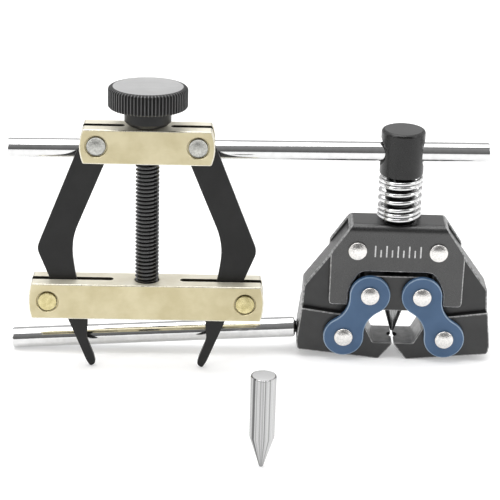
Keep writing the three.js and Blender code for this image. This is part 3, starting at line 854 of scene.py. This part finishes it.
def recessed_pin(name, shank, place, side, body, material, crown):
    """A pin along Y whose heads fill the recesses of a block, their faces crowned by that height."""
    seat = BLOCK_DEPTH / 2 - RECESS["depth"] + CLEAR
    rim = BLOCK_DEPTH / 2 - RECESS["lip"]
    top = BLOCK_DEPTH / 2 + 0.2
    head = RIVET_HEAD
    back = [(head, seat), (head, rim), (head - 0.15, rim + 0.25), (head - 0.6, top - crown),
            (head * 0.5, top - crown * 0.3), (0, top)]
    front = [(radius, -y) for radius, y in reversed(back)]
    pin = along_y(turned(name, front + [(shank, -seat), (shank, seat)] + back, 48))
    moved(pin, x=side * place[0], z=place[1])
    publish(pin, PULLER, body, [material], name)


def arm(hand, side):
    name = f"puller_arm_{hand}"
    thickness, half = ARM["thickness"], ARM["half"]
    elbow_x, elbow_z = ARM["elbow"]
    tip_x, tip_z = ARM["tip"]
    x, z = UPPER_RIVET
    outward = math.atan2(elbow_x - x - half, z - elbow_z)
    across_x = half * math.cos(outward)
    across_z = half * math.sin(outward)
    inner_top = (x - across_x, z - across_z)
    eye = arc(x, z, half, outward, outward + math.pi, 20)
    low = outline([
        inner_top, (x + across_x, z + across_z), (elbow_x, elbow_z, 2.5), (tip_x, tip_z, 1.4),
        (tip_x - 1.6, 0, 1), (tip_x - 3.8, 1.4, 1.4), (tip_x - 3, 4.6, 1), *ARM_INNER,
    ])
    points = [(side * px, pz) for px, pz in eye[1:-1][::-1]]
    body = [(side * px, pz) for px, pz in low]
    made = plate(name + "_bar", [body[0]] + points + body[1:], -thickness / 2, thickness / 2)
    soften(made, EDGE["arm"], sharp=35)
    cut(made, hole_y(RIVET_SHANK + CLEAR, UPPER_RIVET, side))
    publish(made, PULLER, name, [BLACK_PLATE], name)


def puller_screw():
    bottom, journal = PULLER_SCREW["bottom"], UPPER_BLOCK["bottom"]
    thread = threaded("puller_screw_thread", PULLER_SCREW["radius"], PULLER_SCREW["pitch"], bottom,
                      journal)
    stem = round_bar("puller_screw_stem", PULLER_SCREW["stem"], journal - 0.5,
                     PULLER_SCREW["stem_top"], 0.5)
    publish(thread, PULLER, "puller_screw", [BLACK_THREAD], "puller_screw", sharp=25)
    publish(stem, PULLER, "puller_screw", [BLACK_THREAD], "puller_screw")


def puller_knob():
    """A turned knob whose rim has straight flutes, made row by row around the axis."""
    bottom, collar, neck = KNOB["bottom"], KNOB["collar"], KNOB["neck"]
    radius, top, flat = KNOB["radius"], KNOB["top"], KNOB["flat"]
    bore = PULLER_SCREW["stem"] + CLEAR
    ceiling = PULLER_SCREW["stem_top"] + CLEAR
    bevel, shoulder = KNOB["bevel"], radius - flat
    below = (
        (0, ceiling, 0), (bore, ceiling, 0), (bore, bottom, 0), (collar - bevel, bottom, 0),
        (collar, bottom + bevel, 0), (collar, neck - 0.4, 0), (collar + 0.4, neck, 0),
        (radius - 1.2, neck, 0), (radius - 0.5, neck + 0.1, 1), (radius, neck + 0.7, 1),
    )
    turns = [math.radians(90 * step / 6) for step in range(7)]
    above = tuple((flat + shoulder * math.cos(t), top - bevel + bevel * math.sin(t), math.cos(t) ** 0.3)
                  for t in turns)
    rows = below + above[:-1] + ((flat, top, 0), (flat - 0.3, top, 0), (0, top, 0))
    wave = (0, 0.1, 0.8, 1, 0.8, 0.1)  # depth of a flute at six places across it
    segments = FLUTES["count"] * len(wave)
    bm = bmesh.new()
    rings = []
    for reach, z, share in rows:
        ring = []
        for step in range(segments if reach else 1):
            angle = 2 * math.pi * step / segments
            r = reach - FLUTES["depth"] * share * wave[step % len(wave)]
            ring.append(bm.verts.new((r * math.cos(angle), r * math.sin(angle), z)))
        rings.append(ring)
    # Crest faces take the lighter black: a painted highlight on the crests.
    for row, i, face in skin(bm, rings, segments):
        crest = wave[i % len(wave)] + wave[(i + 1) % len(wave)] < 0.2
        face.material_index = 2 if rows[row][2] and crest else 0
    knob = thing("puller_knob_fluted", bm)
    face_beyond(knob, top, 1)
    publish(knob, PULLER, "puller_screw", [BLACK_PLATE, FACED, BLACK_CREST_HIGHLIGHT],
            "puller_knob", sharp=25)


# ---- stage ---------------------------------------------------------------------------------------

# steps of grey from the front, -Y (0), to the back, +Y (1)
SKY = ((0.0, 0.16), (0.06, 0.24), (0.25, 0.36), (0.38, 0.24), (0.42, 1.1), (0.6, 1.35),
       (0.82, 1.25), (0.87, 0.66), (1.0, 0.60))
CAMERA = {"elevation": 22.3, "roll": 1.6, "distance": 750, "lens": 131.7, "target": (-60.02, 0, 43.61)}


def camera():
    """Looks along +Y, and down by its elevation, at the middle of the set."""
    data = bpy.data.cameras.new("camera")
    data.lens = CAMERA["lens"]
    data.sensor_width = 36
    data.clip_start = 0.01
    obj = bpy.data.objects.new("camera", data)
    bpy.context.scene.collection.objects.link(obj)
    tilt = math.radians(CAMERA["elevation"])
    target = BREAKER @ Vector(CAMERA["target"])
    back = Vector((0, -math.cos(tilt), math.sin(tilt)))
    turn = Matrix.Rotation(math.radians(90) - tilt, 4, "X")
    roll = Matrix.Rotation(math.radians(CAMERA["roll"]), 4, "Z")
    obj.matrix_world = Matrix.Translation(target + back * CAMERA["distance"] * MM) @ turn @ roll
    bpy.context.scene.camera = obj


def floor():
    bm = bmesh.new()
    bmesh.ops.create_grid(bm, x_segments=1, y_segments=1, size=6)
    obj = thing("floor", bm)
    material = bpy.data.materials.new("floor")
    material.use_nodes = True
    tree = material.node_tree
    shader = tree.nodes["Principled BSDF"]
    shader.inputs["Roughness"].default_value = 0.9
    shader.inputs["Specular IOR Level"].default_value = 0.1
    place = node(tree, "ShaderNodeTexCoord").outputs["Object"]
    shader.inputs["Emission Color"].default_value = (1, 1, 1, 1)
    shader.inputs["Emission Strength"].default_value = 0.35
    pale = ramp(tree, noise(tree, place, 3, 2), ((0.3, grey(0.70)), (0.7, grey(0.73))))
    tree.links.new(pale, shader.inputs["Base Color"])
    obj.data.materials.append(material)


def sky():
    """A studio whose grey changes only along Y; SKY has the steps."""
    world = bpy.data.worlds.new("studio")
    bpy.context.scene.world = world
    world.use_nodes = True
    tree = world.node_tree
    light = tree.nodes["Background"]
    light.inputs["Strength"].default_value = 1.0
    direction = node(tree, "ShaderNodeTexCoord").outputs["Generated"]
    parts = node(tree, "ShaderNodeSeparateXYZ")
    tree.links.new(direction, parts.inputs["Vector"])
    backward = node(tree, "ShaderNodeMapRange")
    backward.inputs["From Min"].default_value = -1
    tree.links.new(parts.outputs["Y"], backward.inputs["Value"])
    stops = tuple((position, grey(level)) for position, level in SKY)
    tree.links.new(ramp(tree, backward.outputs["Result"], stops), light.inputs["Color"])


def softbox(name, place, size, watts, target=(0, 0, 0.05)):
    data = bpy.data.lights.new(name, "AREA")
    data.shape = "RECTANGLE"
    data.size, data.size_y = size
    data.energy = watts
    obj = bpy.data.objects.new(name, data)
    bpy.context.scene.collection.objects.link(obj)
    obj.location = place
    aim = Vector(target) - Vector(place)
    obj.rotation_euler = aim.to_track_quat("-Z", "Y").to_euler()


def breaker():
    yoke()
    yoke_ticks()
    pusher_block()
    outer = FOOT_DEPTH + 2 * (CLEAR + LINK["plate"])
    for hand, side in SIDES:
        jaw(hand, side)
        jaw_x, jaw_z = pivot(f"jaw_{hand}_swing")
        link_x, link_z = pivot(f"link_{hand}_swing")
        domed_pin(f"jaw_pivot_pin_{hand}", YOKE["depth"], (abs(jaw_x), jaw_z), side, "yoke")
        domed_pin(f"upper_link_pin_{hand}", outer, (abs(link_x), link_z), side, "block")
        domed_pin(f"lower_link_pin_{hand}", outer, LINK_FOOT, side, f"link_{hand}")
        link(hand, side, -1, "front")
        link(hand, side, 1, "back")
    main_screw()
    return_spring()
    tommy_bar()
    holding_bar()
    fitted_punch()


def puller():
    upper_block()
    lower_block()
    for hand, side in SIDES:
        arm(hand, side)
        recessed_pin(f"puller_upper_rivet_{hand}", RIVET_SHANK, UPPER_RIVET, side, "puller",
                     RIVET_STEEL, 0.35)
        recessed_pin(f"puller_lower_pin_{hand}", CROSS_PIN_SHANK, LOWER_PIN, side,
                     "puller_lower_block", BRASS, 0.1)
    puller_screw()
    puller_knob()
    ring = frame["nodes"]["puller_retaining_ring"]
    ring.data.materials.clear()
    ring.data.materials.append(WIRE)


camera()
floor()
sky()
softbox("softbox_top", (-0.15, 0.1, 1.3), (1.4, 1.0), 14)
softbox("softbox_left", (-1.1, -0.7, 0.9), (0.5, 0.9), 5)
softbox("softbox_right", (1.2, -0.5, 0.8), (0.4, 0.9), 4)
breaker()
puller()
spare_punch()
bpy.context.scene.view_settings.view_transform = "Standard"
